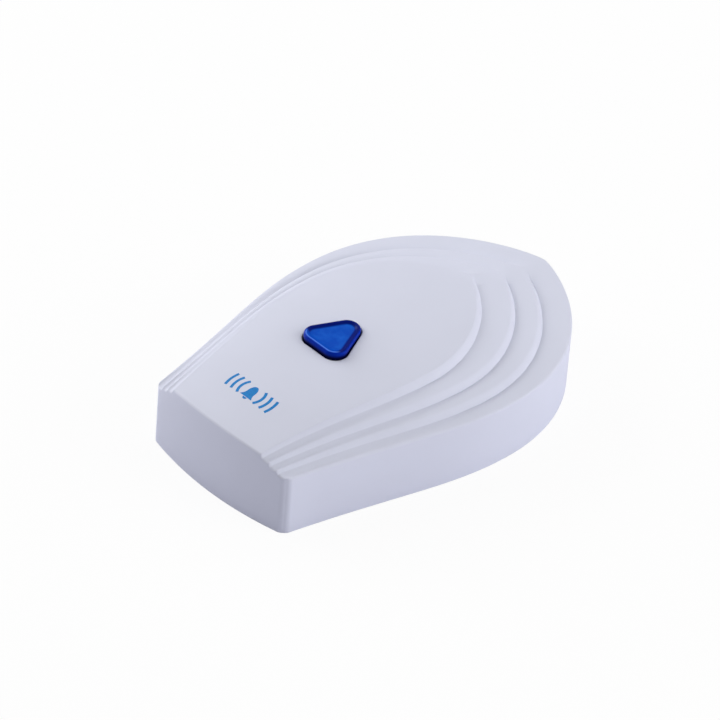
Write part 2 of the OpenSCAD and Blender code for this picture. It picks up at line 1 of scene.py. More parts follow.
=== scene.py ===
import bmesh
import bpy
import numpy as np
from mathutils import Matrix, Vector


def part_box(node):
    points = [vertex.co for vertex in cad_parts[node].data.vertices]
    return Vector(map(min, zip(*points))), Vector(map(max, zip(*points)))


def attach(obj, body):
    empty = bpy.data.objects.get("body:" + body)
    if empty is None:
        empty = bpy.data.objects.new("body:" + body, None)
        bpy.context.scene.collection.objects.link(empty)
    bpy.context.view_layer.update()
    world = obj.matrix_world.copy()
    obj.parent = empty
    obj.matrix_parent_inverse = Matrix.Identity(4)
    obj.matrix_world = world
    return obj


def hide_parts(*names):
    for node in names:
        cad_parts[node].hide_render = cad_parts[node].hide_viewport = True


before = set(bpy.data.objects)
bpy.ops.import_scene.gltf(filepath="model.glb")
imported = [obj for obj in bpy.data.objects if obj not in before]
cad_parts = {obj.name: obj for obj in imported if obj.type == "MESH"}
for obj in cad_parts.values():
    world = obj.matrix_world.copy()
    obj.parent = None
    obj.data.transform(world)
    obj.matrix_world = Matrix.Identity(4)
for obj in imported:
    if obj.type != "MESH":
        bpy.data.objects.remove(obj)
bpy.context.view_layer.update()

# The view. A product camera with a long lens stands about a metre off, over the right corner of the
# flat end, and leans a few degrees, so that the upright edges tilt to the right.
VIEW_AZIMUTH, VIEW_ELEVATION, VIEW_ROLL = np.radians((44.1, 38.34, 4.56))
VIEW_DISTANCE = 1.128
VIEW_AIM = np.array((-0.0108, 0.00564, 0.0))
LENS_MM = 300
SENSOR_MM = 36
NEAREST_SEEN = 0.01
scene = bpy.context.scene


def camera_axes(azimuth, elevation, roll):
    """Right, up and back of a camera at an azimuth and elevation, turned about its line of sight:
    right' = right cos(roll) + up sin(roll) and up' = up cos(roll) - right sin(roll)."""
    sin_a, cos_a = np.sin(azimuth), np.cos(azimuth)
    sin_e, cos_e = np.sin(elevation), np.cos(elevation)
    right = np.array((cos_a, sin_a, 0))
    up = np.array((-sin_a * sin_e, cos_a * sin_e, cos_e))
    back = np.array((sin_a * cos_e, -cos_a * cos_e, sin_e))
    turned_right = right * np.cos(roll) + up * np.sin(roll)
    turned_up = up * np.cos(roll) - right * np.sin(roll)
    return turned_right, turned_up, back


def add_object(name, data):
    """A new object of the scene that holds a camera, a mesh or a lamp."""
    made = bpy.data.objects.new(name, data)
    scene.collection.objects.link(made)
    return made


def stand(holder, axes, place):
    """Stands a camera or a lamp at a place, with its right, up and back along three axes."""
    matrix = np.eye(4)
    matrix[:3, :3] = np.stack(axes, axis=1)
    matrix[:3, 3] = place
    holder.matrix_world = Matrix(matrix.tolist())


view_axes = camera_axes(VIEW_AZIMUTH, VIEW_ELEVATION, VIEW_ROLL)
camera_data = bpy.data.cameras.new("product_camera")
camera_data.lens = LENS_MM
camera_data.sensor_width = SENSOR_MM
camera_data.clip_start = NEAREST_SEEN
scene.camera = add_object("product_camera", camera_data)
stand(scene.camera, view_axes, VIEW_AIM + VIEW_DISTANCE * view_axes[2])
scene.view_settings.view_transform = "Standard"

# The front cover. One injection moulding in satin white plastic: an arched face with an opening for the
# button, three terraces that step down round it, upright walls, and a lip that holds the back plate.
MM = 0.001
COVER_LOW, COVER_HIGH = (np.array(corner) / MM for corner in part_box("front_cover"))
BODY_WIDTH, BODY_LENGTH = (COVER_HIGH - COVER_LOW)[:2]
END_WIDTH = 35.5
END_BOW = 2.3
WIDEST_Y = 7.4
RIM_HEIGHT = 12.8
CORNER_ROUND = 1.2
EDGE_ROUND = 0.4
BASE_ROUND = 0.25
WALL = 2.0
TIP_WALL = 2.2
ROOF = 2.0
LIP = 1.2
LIP_HEIGHT = 2.0
FACE_END_Z = 16.5
FACE_FAR_Z = 15.0
FACE_RISE = 5.4
FACE_RADIUS = 75.0
FACE_END_WIDTH = 23.4
FACE_WIDTH = 33.4
FACE_WIDEST_Y = -4.4
FACE_TIP_Y = 21.2
STEP_END = 0.45
STEP_SIDE = 0.85
STEP_RUN = 1.5
STEP_RUN_END = 0.7
RIM_SHAPE = (0.515, 0.295, 0.765, 0.1)
FACE_SHAPE = (0.423, 0.307, 0.67, 0.1)
FLANK_CRESTS = (0, 0.318, 0.626, 1)
TIP_CRESTS = (0, 0.407, 0.677, 1)
BOW_FADE = 0.3
TIP_FADE = 0.2
UP_Y = np.array((0.0, 1.0))
ACROSS_X = np.array((1.0, 0.0))


def mix(a, b, share):
    """The point or number that lies a share of the way from a to b."""
    return a + (b - a) * share


def end_line(x):
    """Line of the flat end: a parabola that falls back by END_BOW from its middle to its corners."""
    return -BODY_LENGTH / 2 + END_BOW * (2 * x / END_WIDTH) ** 2


def bezier(a, b, c, d, u):
    """Cubic curve: four points, each weighted by its Bernstein polynomial in u."""
    u = u[..., None]
    return (1 - u) ** 3 * a + 3 * u * (1 - u) ** 2 * b + 3 * u**2 * (1 - u) * c + u**3 * d


def half_outline(start, widest, tip, shape, v):
    """Right half of a pointed outline: one cubic climbs the flank from the corner to the widest place
    for v from 0 to 1, and another turns in to the tip for v from 1 to 2. The shape gives the shares of
    the flank's straight start, of its round end and of the full, rounded tip."""
    start, widest, tip = (np.array(point, float) for point in (start, widest, tip))
    straight, rounded, full, blunt = shape
    flank = bezier(start, mix(start, widest, straight), widest - rounded * (widest - start)[1] * UP_Y,
                   widest, np.minimum(v, 1))
    turn = bezier(widest, widest + full * (tip - widest)[1] * UP_Y, tip + blunt * widest[0] * ACROSS_X, tip,
                  np.maximum(v - 1, 0))
    return np.where((v <= 1)[..., None], flank, turn)


def rim_line(v):
    """Outline of the side walls."""
    return half_outline((END_WIDTH / 2, end_line(END_WIDTH / 2)), (BODY_WIDTH / 2, WIDEST_Y),
                        (0, BODY_LENGTH / 2), RIM_SHAPE, v)


def face_line(v):
    """Crest of the first step, which bounds the face."""
    return half_outline((FACE_END_WIDTH / 2, end_line(FACE_END_WIDTH / 2)), (FACE_WIDTH / 2, FACE_WIDEST_Y),
                        (0, FACE_TIP_Y), FACE_SHAPE, v)


def hollow_line(v):
    """Outline of the hollow, one wall inside the rim, and a little more at the tip."""
    corner_x = END_WIDTH / 2 - WALL
    return half_outline((corner_x, end_line(corner_x) + WALL), (BODY_WIDTH / 2 - WALL, WIDEST_Y),
                        (0, BODY_LENGTH / 2 - TIP_WALL), RIM_SHAPE, v)


def face_height(x, y):
    """Arched face: a sloping line along the length, plus a parabola along it, less a parabola across."""
    along = 2 * y / BODY_LENGTH
    return (mix(FACE_END_Z, FACE_FAR_Z, 0.5 + along / 2) + FACE_RISE * (1 - along**2)
            - x**2 / (2 * FACE_RADIUS))


def quarter_round(distance, radius):
    """Drop of a rounded edge at a distance inside it: a quarter circle that falls by its radius."""
    inside = np.clip(distance, 0, radius)
    return radius - np.sqrt(radius**2 - (radius - inside) ** 2)


FLANK_AHEAD = 0.1


def round_corner(points):
    """Squeezes the square corner beside the flat end into a quarter circle, as a square maps to a disc:
    a' = a sqrt(1 - b^2 / 2), with a and b counted inwards from the corner in corner radii."""
    corner, ahead = rim_line(np.array((0, FLANK_AHEAD)))
    slope = (ahead - corner)[0] / (ahead - corner)[1]
    x, y = points[..., 0], points[..., 1]
    a = 1 - (corner[0] + (y - corner[1]) * slope - x) / CORNER_ROUND
    b = 1 - (y - end_line(x)) / CORNER_ROUND
    near = (a > 0) & (b > 0)
    a = np.where(near, a, 0)
    b = np.where(near, b, 0)
    shift = np.stack((a * np.sqrt(1 - b**2 / 2) - a, b - b * np.sqrt(1 - a**2 / 2)), axis=-1)
    return points + CORNER_ROUND * shift


STATION_STEP = 0.01


def terrace_width(v):
    """Width of all three terraces at a station, square to the crest: the cross product of the crest's
    direction with the line from the crest to the rim."""
    ahead = face_line(np.minimum(v + STATION_STEP, 2))
    behind = face_line(np.maximum(v - STATION_STEP, 0))
    along = (ahead - behind) / np.linalg.norm(ahead - behind, axis=-1, keepdims=True)
    across = rim_line(v) - face_line(v)
    return np.abs(along[..., 0] * across[..., 1] - along[..., 1] * across[..., 0])


STEP_SAMPLES = np.linspace(0, 1, 13)[:-1]
TREAD_SAMPLES = np.linspace(0, 1, 11)[:-1] ** 1.5
ROUND_ANGLES = np.radians(np.linspace(0, 90, 9))
CREST_ROUND = 0.8
# Powers of a tread's climb, beside the flat end and past the flank.
TREAD_LEAN = (2.5, 1.0)
TREAD_BEND = (1.0, 3.0)


def step_drop(share):
    """Fall of a step from its crest to its foot: a parabola over the rounded crest, and then a straight
    slope."""
    curved = share**2 / (2 * CREST_ROUND)
    return np.where(share < CREST_ROUND, curved, share - CREST_ROUND / 2) / (1 - CREST_ROUND / 2)


def outer_terraces(v):
    """Points of the right-hand terraces over stations and columns. Across each terrace a step falls down
    a slope, steeper beside the flat end, and a tread climbs back by (1 - t^lean)^bend, whose powers turn
    from a late climb beside the flat end to an early one up the flank; the steps run out towards the
    tip, rows beside the flat end follow its bow, and the rim ends in a round."""
    width = terrace_width(v)[:, None]
    to_tip = np.maximum(v - 1, 0)
    crests = [mix(flank, tip, to_tip)[:, None] for flank, tip in zip(FLANK_CRESTS, TIP_CRESTS)]
    up_flank = np.minimum(v, 1)[:, None]
    slope = mix(STEP_RUN_END, STEP_RUN, up_flank)
    tread_drop = (1 - TREAD_SAMPLES ** mix(*TREAD_LEAN, up_flank)) ** mix(*TREAD_BEND, up_flank)
    shares, drops = [], []
    for inside, outside in zip(crests, crests[1:]):
        run = slope / (width * (outside - inside) + slope)
        shares += [mix(inside, outside, run * STEP_SAMPLES),
                   mix(inside, outside, mix(run, 1, TREAD_SAMPLES))]
        drops += [step_drop(STEP_SAMPLES) + 0 * run, tread_drop]
    edge = EDGE_ROUND / width
    share = np.hstack((*(s * (1 - edge) for s in shares), 1 - edge * (1 - np.sin(ROUND_ANGLES))))
    drop = np.hstack((*drops, np.zeros((len(v), len(ROUND_ANGLES)))))
    inside, outside = face_line(v)[:, None], rim_line(v)[:, None]
    flat = mix(inside, outside, share[..., None])
    chord = mix(end_line(inside[..., 0]), end_line(outside[..., 0]), share)
    flat[..., 1] += (end_line(flat[..., 0]) - chord) * np.maximum(0, 1 - v / BOW_FADE)[:, None]
    x, y = flat[..., 0], flat[..., 1]
    depth = (mix(STEP_END, STEP_SIDE, np.minimum(v, 1)) * np.minimum(1, (2 - v) / TIP_FADE) ** 2)[:, None]
    to_edge = np.minimum((1 - share) * width, y - end_line(x))
    z = (RIM_HEIGHT + (1 - share) * (face_height(x, y) - RIM_HEIGHT) - depth * drop
         - quarter_round(to_edge, EDGE_ROUND))
    return np.dstack((round_corner(flat), z))


def inner_terraces(v, columns):
    """Underside of the terraces: the same ramp without steps, one roof lower and one wall further in."""
    inset = face_line(v) + WALL * np.maximum(0, 1 - v / BOW_FADE)[:, None] * UP_Y
    reach = np.linalg.norm(hollow_line(v) - inset, axis=-1)[:, None]
    share = np.linspace(0, 1, columns)
    flat = mix(inset[:, None], hollow_line(v)[:, None], share[:, None])
    ramp = 1 - share * reach / (reach + WALL)
    z = RIM_HEIGHT + ramp * (face_height(flat[..., 0], flat[..., 1]) - RIM_HEIGHT) - STEP_SIDE - ROOF
    return np.dstack((flat, z))


# The opening for the button is a rounded triangle with its point up the wall. A collar under the face
# guides the button, and the flange of the button stops against it.
BUTTON_LOW, BUTTON_HIGH = (np.array(corner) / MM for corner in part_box("push_button"))
FLANGE_REACH = 1.2
BUTTON_WIDTH, BUTTON_HEIGHT = (BUTTON_HIGH - BUTTON_LOW)[:2] - 2 * FLANGE_REACH
BUTTON_Y = (BUTTON_LOW[1] + BUTTON_HIGH[1]) / 2
BUTTON_ROUND = 2.7
OPENING_ROUND = 0.25
OUTLINE_STEPS = 40
FINE_POINTS = 6000
COLLAR_WALL = 2.0
COLLAR_DEPTH = 0.6
COLLAR_Z = face_height(BUTTON_WIDTH / 2, BUTTON_Y - BUTTON_HEIGHT / 2) - ROOF - COLLAR_DEPTH
CORNER_X = BUTTON_WIDTH / 2 - BUTTON_ROUND
CORNER_LOW_Y = BUTTON_Y - BUTTON_HEIGHT / 2 + BUTTON_ROUND
CORNER_HIGH_Y = BUTTON_Y + BUTTON_HEIGHT / 2 - BUTTON_ROUND
SIDE_LEAN = np.arctan2(CORNER_X, CORNER_HIGH_Y - CORNER_LOW_Y)


def rounded_triangle(growth, steps):
    """Outline of the button grown by an amount: arcs about the three corner centres, joined by sides."""
    arcs = (((CORNER_X, CORNER_LOW_Y), -np.pi / 2, SIDE_LEAN),
            ((0, CORNER_HIGH_Y), SIDE_LEAN, np.pi - SIDE_LEAN),
            ((-CORNER_X, CORNER_LOW_Y), np.pi - SIDE_LEAN, 3 * np.pi / 2))
    loops = []
    for centre, first, last in arcs:
        turn = np.linspace(first, last, steps)
        loops.append(centre + (BUTTON_ROUND + growth) * np.stack((np.cos(turn), np.sin(turn)), axis=-1))
    return np.concatenate(loops)


def on_opening(points, growth):
    """Where rays from the middle of the opening to the points cross its outline, grown by an amount."""
    outline = rounded_triangle(growth, OUTLINE_STEPS)
    outline = np.concatenate((outline, outline[:1]))
    place = np.linspace(0, len(outline) - 1, FINE_POINTS)
    fine = np.stack([np.interp(place, np.arange(len(outline)), outline[:, k]) for k in (0, 1)], axis=-1)
    middle = np.array((0, BUTTON_Y))
    fine = fine - middle
    angle = np.arctan2(points[:, 1] - BUTTON_Y, points[:, 0])
    fine_angle = np.arctan2(fine[:, 1], fine[:, 0])
    radius = np.interp(angle, fine_angle, np.linalg.norm(fine, axis=-1), period=2 * np.pi)
    return middle + radius[:, None] * np.stack((np.cos(angle), np.sin(angle)), axis=-1)


FACE_RAYS = np.linspace(0, 1, 34)[1:-1]
CEILING_RAYS = np.linspace(0, 1, 7)


def outer_field(edge):
    """Face from the opening out to an edge loop, on rays from the opening's middle, with the edges of
    the opening and of the flat end rounded."""
    hole = on_opening(edge, 0)
    length = np.linalg.norm(edge - hole, axis=-1)[:, None]
    along = np.hstack((OPENING_ROUND * (1 - np.cos(ROUND_ANGLES)) + 0 * length,
                       mix(OPENING_ROUND, length - EDGE_ROUND, FACE_RAYS),
                       length - EDGE_ROUND * (1 - np.sin(ROUND_ANGLES))))
    flat = mix(hole[:, None], edge[:, None], (along / length)[..., None])
    x, y = flat[..., 0], flat[..., 1]
    z = face_height(x, y) - quarter_round(along, OPENING_ROUND) - quarter_round(y - end_line(x), EDGE_ROUND)
    return np.dstack((flat, z))


def inner_field(edge, upper_edge):
    """Underside of the face: down the wall of the opening, round the foot of its collar, up to the
    ceiling and out to an edge loop. The opening's points lie on the rays to the face's own edge loop."""
    hole, collar = on_opening(upper_edge, 0), on_opening(upper_edge, COLLAR_WALL)
    flat = mix(collar[:, None], edge[:, None], CEILING_RAYS[:, None])
    ceiling = face_height(flat[..., 0], flat[..., 1]) - STEP_SIDE * CEILING_RAYS - ROOF
    top = face_height(hole[:, 0], hole[:, 1]) - OPENING_ROUND
    low = np.full(len(edge), COLLAR_Z)
    rings = [np.column_stack((hole, top)), np.column_stack((hole, low)), np.column_stack((collar, low))]
    return np.concatenate((np.stack(rings, axis=1), np.dstack((flat, ceiling))), axis=1)


def mirrored(points):
    """The same points on the left of the middle plane."""
    return points * np.array((-1, 1, 1))[:points.shape[-1]]


END_SHARES = np.linspace(-1, 1, 61)[1:-1]


def edge_loop(flank, end):
    """Loop round the body: up the right flank, down the left one and along the flat end to the start."""
    return np.concatenate((flank, mirrored(flank[-2::-1]), end))


def wall_loop(terraces, field):
    """Loop of the skin's lower edge: both flanks, then the flat end by way of the terraces' first
    station."""
    first = terraces[0]
    end = np.concatenate((mirrored(first[-2::-1]), field[-len(END_SHARES):, -1], first[:-1]))
    return edge_loop(terraces[:, -1], end)


def inwards(loop):
    """Unit normals that point into a closed loop which runs anticlockwise."""
    along = np.roll(loop, -1, axis=0) - np.roll(loop, 1, axis=0)
    along /= np.linalg.norm(along, axis=-1, keepdims=True)
    return np.stack((-along[:, 1], along[:, 0]), axis=-1)


WALL_SHARES = np.linspace(0, 1, 6)


def skirt(outer, inner):
    """Wall from the skin's lower edge: down the outside, round the base edge, in to the lip, up to the
    seat of the back plate and up the hollow to the underside's edge."""
    flat, normal = outer[:, :2], inwards(outer[:, :2])
    rows = [np.column_stack((flat, mix(outer[:, 2], BASE_ROUND, share))) for share in WALL_SHARES]
    for turn in ROUND_ANGLES[2::2]:
        rows.append(np.column_stack((flat + BASE_ROUND * (1 - np.cos(turn)) * normal,
                                     np.full(len(flat), BASE_ROUND * (1 - np.sin(turn))))))
    lip = flat + LIP * normal
    for place, z in ((lip, 0), (lip, LIP_HEIGHT), (inner[:, :2], LIP_HEIGHT)):
        rows.append(np.column_stack((place, np.full(len(flat), z))))
    return np.stack([*rows, inner])


def grid_quads(shape, closed):
    """Corner numbers of the quads between neighbours on a grid; a closed grid joins its last column
    to its first."""
    numbers = np.arange(shape[0] * shape[1]).reshape(shape)
    if closed:
        numbers = np.hstack((numbers, numbers[:, :1]))
    corners = numbers[:-1, :-1], numbers[1:, :-1], numbers[1:, 1:], numbers[:-1, 1:]
    return np.stack(corners, axis=-1).reshape(-1, 4)


SHARP_ANGLE = np.radians(34)
WELD = 2e-7


def make_piece(name, grids, body, material, insets=None):
    """One mesh from grids of points in millimetres, each with a mark for a closed one. Points that
    coincide are welded, faces are turned outwards, and creases over SHARP_ANGLE stay sharp. Insets, one
    for each point, become an attribute that the material can read."""
    points = np.concatenate([grid.reshape(-1, 3) for grid, _ in grids]) * MM
    starts = np.cumsum([0] + [grid.shape[0] * grid.shape[1] for grid, _ in grids])
    quads = np.concatenate([grid_quads(grid.shape[:2], closed) + start
                            for (grid, closed), start in zip(grids, starts)])
    mesh = bpy.data.meshes.new(name)
    mesh.from_pydata(points.tolist(), [], quads.tolist())
    if insets is not None:
        mesh.attributes.new("inset", "FLOAT", "POINT").data.foreach_set("value", insets)
    work = bmesh.new()
    work.from_mesh(mesh)
    bmesh.ops.remove_doubles(work, verts=work.verts, dist=WELD)
    bmesh.ops.recalc_face_normals(work, faces=work.faces)
    work.to_mesh(mesh)
    work.free()
    mesh.shade_smooth()
    mesh.set_sharp_from_angle(angle=SHARP_ANGLE)
    mesh.materials.append(material)
    piece = add_object(name, mesh)
    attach(piece, body)
    return piece


class Wire:
    """A socket of a node tree. Sums and products of wires and numbers add Math nodes, and node() adds
    any other node."""

    def __init__(self, tree, socket=None):
        self.tree = tree
        self.socket = socket

    def node(self, kind, settings=None, sockets=None, out=0):
        """Adds a node, sets its settings (a ramp's stops as pairs of place and colour) and then its
        sockets to values or wires, and gives one of its outputs."""
        made = self.tree.nodes.new(kind)
        for name, value in (settings or {}).items():
            if name == "stops":
                ramp = made.color_ramp.elements
                while len(ramp) < len(value):
                    ramp.new(1)
                for element, (place, colour) in zip(ramp, value):
                    element.position = place
                    element.color = (*colour, 1)
            else:
                setattr(made, name, value)
        for key, value in (sockets or {}).items():
            if isinstance(value, Wire):
                self.tree.links.new(value.socket, made.inputs[key])
            else:
                made.inputs[key].default_value = value
        return Wire(self.tree, made.outputs[out])

    def math(self, operation, *values):
        """Result of a Math node on wires and numbers."""
        return self.node("ShaderNodeMath", {"operation": operation}, dict(enumerate(values)))

    def __add__(self, other):
        return self.math("ADD", self, other)

    __radd__ = __add__

    def __sub__(self, other):
        return self.math("SUBTRACT", self, other)

    def __rsub__(self, other):
        return self.math("SUBTRACT", other, self)

    def __mul__(self, other):
        return self.math("MULTIPLY", self, other)

    __rmul__ = __mul__

    def noise(self, scale, detail=2.0):
        """Noise over this vector, with its scale in waves to the metre."""
        return self.node("ShaderNodeTexNoise", None, {"Vector": self, "Scale": scale, "Detail": detail})

    def ramp(self, *stops):
        """Colour that this value picks between stops, which are pairs of place and colour."""
        return self.node("ShaderNodeValToRGB", {"stops": stops}, {"Fac": self})

    def bump(self, distance):
        """Normal of a surface raised by this height, with the distance in metres of one unit."""
        return self.node("ShaderNodeBump", None, {"Height": self, "Strength": 1.0, "Distance": distance})


def new_finish(name, **constants):
    """A Principled material with constant sockets set, and two helpers: its Object coordinates, and a
    function that links a wire to one of its sockets."""
    material = bpy.data.materials.new(name)
    material.use_nodes = True
    tree = material.node_tree
    shader = tree.nodes["Principled BSDF"]
    for key, value in constants.items():
        shader.inputs[key.replace("_", " ")].default_value = value
    coordinates = Wire(tree).node("ShaderNodeTexCoord", out="Object")

    def link(wire, socket):
        tree.links.new(wire.socket, shader.inputs[socket])

    return material, coordinates, link


def toned(colour, factor):
    """A colour made lighter or darker by a factor."""
    return tuple(channel * factor for channel in colour)


def clouded(noise, colour, tones, places=(0.3, 0.7)):
    """A colour that goes from its first tone to its second while a noise goes from place to place."""
    return noise.ramp(*((place, toned(colour, tone)) for place, tone in zip(places, tones)))


SHELL_COLOUR = (0.682, 0.7, 0.815)
SHELL_CLOUDS = 55.0
SHELL_SHEEN = 900.0
SHELL_GRAIN = 5200.0
SHELL_GRAIN_HEIGHT = 0.000006
shell_white, shell_at, shell_link = new_finish("satin_white_shell", IOR=1.5, Specular_IOR_Level=0.3)
shell_link(clouded(shell_at.noise(SHELL_CLOUDS), SHELL_COLOUR, (0.985, 1.015)), "Base Color")
shell_link(0.52 + 0.12 * shell_at.noise(SHELL_SHEEN), "Roughness")
shell_link(shell_at.noise(SHELL_GRAIN, 3.0).bump(SHELL_GRAIN_HEIGHT), "Normal")

CORNER_STATIONS = 12
FLANK_STATIONS = 90
TIP_STATIONS = 80
TIP_CROWDING = 1.25
FLANK_SPEED = 3 * FACE_SHAPE[0] * (FACE_WIDEST_Y + BODY_LENGTH / 2)
end_round = EDGE_ROUND * (1 - np.cos(ROUND_ANGLES[:-1])) / FLANK_SPEED
corner_run = np.linspace(EDGE_ROUND, 2 * CORNER_ROUND, CORNER_STATIONS)[:-1] / FLANK_SPEED
flank_run = np.linspace(2 * CORNER_ROUND / FLANK_SPEED, 1, FLANK_STATIONS)
tip_run = 1 + np.linspace(0, 1, TIP_STATIONS)[1:] ** TIP_CROWDING
stations = np.concatenate((end_round, corner_run, flank_run, tip_run))

end_x = END_SHARES * FACE_END_WIDTH / 2
outer_edge = edge_loop(face_line(stations), np.column_stack((end_x, end_line(end_x))))
terraces = outer_terraces(stations)
under_terraces = inner_terraces(stations, terraces.shape[1])
inner_edge = edge_loop(under_terraces[:, 0, :2], np.column_stack((end_x, end_line(end_x) + WALL)))
face = outer_field(outer_edge)
under_face = inner_field(inner_edge, outer_edge)
cover_skirt = skirt(wall_loop(terraces, face), wall_loop(under_terraces, under_face))
cover_grids = [(terraces, False), (mirrored(terraces), False), (face.swapaxes(0, 1), True),
               (under_terraces, False), (mirrored(under_terraces), False),
               (under_face.swapaxes(0, 1), True), (cover_skirt, True)]
front_shell = make_piece("front_shell", cover_grids, "case", shell_white)
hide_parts("front_cover")

# The push button. A moulding in clear blue plastic: a rounded triangle with a dished top inside a rounded
# rim, on a stem that stands on the push switch, with a flange that keeps it behind the face.
BUTTON_TOP = BUTTON_HIGH[2]
PLUNGER_TOP = BUTTON_LOW[2]
BUTTON_GAP = 0.2
BUTTON_BEVEL = 0.5
DISH_DEPTH = 0.35
DISH_RUN = 0.8
FLANGE_GAP = 0.1
FLANGE_TOP = COLLAR_Z - FLANGE_GAP
FLANGE_THICKNESS = 1.0
STEM_RADIUS = 1.7
STEM_OFFSET = 1.15
STEM_Y = BUTTON_Y - STEM_OFFSET
BUTTON_STEPS = 24
DISH_SHARES = np.linspace(0, 1, 9)[1:]
TOP_RINGS = np.linspace(1, 0, 10)[1:]


def button_rings():
    """Closed rings from the foot of the stem to the middle of the top: circles on the stem, grown and
    shrunk outlines on the flange, the side, the rounded rim and the half wave down to the dish, and
    scaled ones on the dish. Also how far inside the opening each point lies."""
    turn = np.linspace(-np.pi / 2, 3 * np.pi / 2, 3 * BUTTON_STEPS, endpoint=False)
    circle = np.stack((np.cos(turn), np.sin(turn)), axis=-1)
    stem_middle = np.array((0, STEM_Y))
    low = FLANGE_TOP - FLANGE_THICKNESS
    rings = [(stem_middle + radius * circle, z) for radius, z in
             ((0, PLUNGER_TOP), (STEM_RADIUS, PLUNGER_TOP), (STEM_RADIUS, low))]
    side = [(FLANGE_REACH, low), (FLANGE_REACH, FLANGE_TOP), (-BUTTON_GAP, FLANGE_TOP)]
    side += [(-BUTTON_GAP - BUTTON_BEVEL * (1 - np.cos(a)), BUTTON_TOP - BUTTON_BEVEL * (1 - np.sin(a)))
             for a in ROUND_ANGLES]
    side += [(-BUTTON_GAP - BUTTON_BEVEL - DISH_RUN * share,
              BUTTON_TOP - DISH_DEPTH * (1 - np.cos(np.pi * share)) / 2) for share in DISH_SHARES]
    insets = [-FLANGE_REACH] * len(rings) + [-growth for growth, _ in side]
    insets += [mix(BUTTON_ROUND, insets[-1], share) for share in TOP_RINGS]
    rings += [(rounded_triangle(growth, BUTTON_STEPS), z) for growth, z in side]
    middle = np.array((0, BUTTON_Y))
    last, dish_z = rings[-1]
    rings += [(mix(middle, last, share), dish_z) for share in TOP_RINGS]
    grid = np.stack([np.column_stack((flat, np.full(len(flat), z))) for flat, z in rings])
    return grid, np.repeat(insets, grid.shape[1])


# Button colours: the rim and foot colours are painted shade, and the line colour is a painted highlight.
BLUE_TOP = (0.0, 0.068, 0.5)
BLUE_PATCH = (0.004, 0.1, 0.57)
BLUE_SIDE = (0.002, 0.024, 0.36)
BLUE_RIM_SHADE = (0.003, 0.01, 0.17)
BLUE_HIGHLIGHT_LINE = (0.07, 0.2, 0.78)
BLUE_FOOT_SHADE = (0.001, 0.001, 0.03)
BAND_MM = 2.0
LOW_HIGHLIGHT_MM = (1.3, 2.3)
FOOT_SHADE_MM = (0.4, 1.25)
TOP_BAND = (0.7, 0.8)
BLUE_CLOUDS = 420.0
clear_blue, blue_at, blue_link = new_finish("clear_blue_button", Roughness=0.22, IOR=1.52,
                                            Specular_IOR_Level=0.06, Specular_Tint=(0.3, 0.5, 1.0, 1.0))


def blend(share, first, second):
    """Colour that goes from the first to the second with a share; each is a wire or three numbers."""
    first, second = (c if isinstance(c, Wire) else (*c, 1) for c in (first, second))
    return share.node("ShaderNodeMix", {"data_type": "RGBA"}, {0: share, 6: first, 7: second}, out=2)


def rise(value, low, high):
    """Smooth step from nought to one while a value goes from low to high."""
    return value.node("ShaderNodeMapRange", {"interpolation_type": "SMOOTHSTEP"},
                      {"Value": value, "From Min": low, "From Max": high})


blue_y, blue_z = (blue_at.node("ShaderNodeSeparateXYZ", None, {0: blue_at}, out=axis) * (1 / MM)
                  for axis in "YZ")
inset = blue_at.node("ShaderNodeAttribute", {"attribute_name": "inset"}, out="Fac")
band = inset * (1 / BAND_MM)
# Painted shade: on all but the low side, the rim turns dark navy in place of the shade of its slope and the
# gap.
rim_shade_band = band.ramp((0.15, BLUE_SIDE), (0.25, BLUE_RIM_SHADE), (0.6, BLUE_RIM_SHADE), (0.76, BLUE_TOP))
# Painted highlight: near the low side, the crest of the rim carries a light blue line in place of a
# highlight.
low_highlight_band = band.ramp((0.22, BLUE_SIDE), (0.3, BLUE_HIGHLIGHT_LINE), (0.36, BLUE_HIGHLIGHT_LINE), (0.42, BLUE_TOP))
rim_shade_and_highlight = blend(rise(blue_y - (BUTTON_Y - BUTTON_HEIGHT / 2), *LOW_HIGHLIGHT_MM), low_highlight_band, rim_shade_band)
patch = blue_at.noise(BLUE_CLOUDS).ramp((0.4, BLUE_TOP), (0.68, BLUE_PATCH))
top_colour = blend(rise(band, *TOP_BAND), rim_shade_and_highlight, patch)
# Painted shade: the sides go nearly black as they run down from the top into the opening.
blue_link(blend(rise(BUTTON_TOP - blue_z, *FOOT_SHADE_MM), top_colour, BLUE_FOOT_SHADE), "Base Color")
button_grid, button_insets = button_rings()
blue_button = make_piece("blue_button", [(button_grid, True)], "button", clear_blue,
                         button_insets)
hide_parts("push_button")

# The bell sign. A small bell between sound arcs, pad-printed on the face below the button. The blue ink
# lies on the plastic as a thin film.
SIGN_Y = -33.0
SIGN_LIFT = 0.02
SIGN_SINK = 0.06
BELL_HEIGHT = 3.0
BELL_HALF_WIDTH = 1.5
BELL_WAIST = 0.62
FLARE_TOP = 0.4
CROWN_FOOT = 0.45
CROWN_POWER = 2.2
CROWN_CROWDING = 1.6
CLAPPER_RADIUS = 0.48
CLAPPER_GAP = 0.12
ARC_RADII = (2.7, 4.1, 5.5)
ARC_STROKE = 0.55
ARC_HALF_HEIGHT = 1.7
BELL_ROWS, BELL_COLUMNS = 28, 15
RING_ROWS, RING_COLUMNS = 5, 25


def printed(flat):
    """Points of a flat print laid on the face, lifted by the thickness of the ink."""
    return np.dstack((flat, face_height(flat[..., 0], flat[..., 1]) + SIGN_LIFT))


def ink_film(sheet):
    """Closed film of ink: a sheet of points, its copy sunk into the face, and the four strips between."""
    sunk = sheet - np.array((0, 0, SIGN_SINK))
    edges = ((0, slice(None)), (-1, slice(None)), (slice(None), 0), (slice(None), -1))
    return [sheet, sunk, *(np.stack((sheet[edge], sunk[edge])) for edge in edges)]


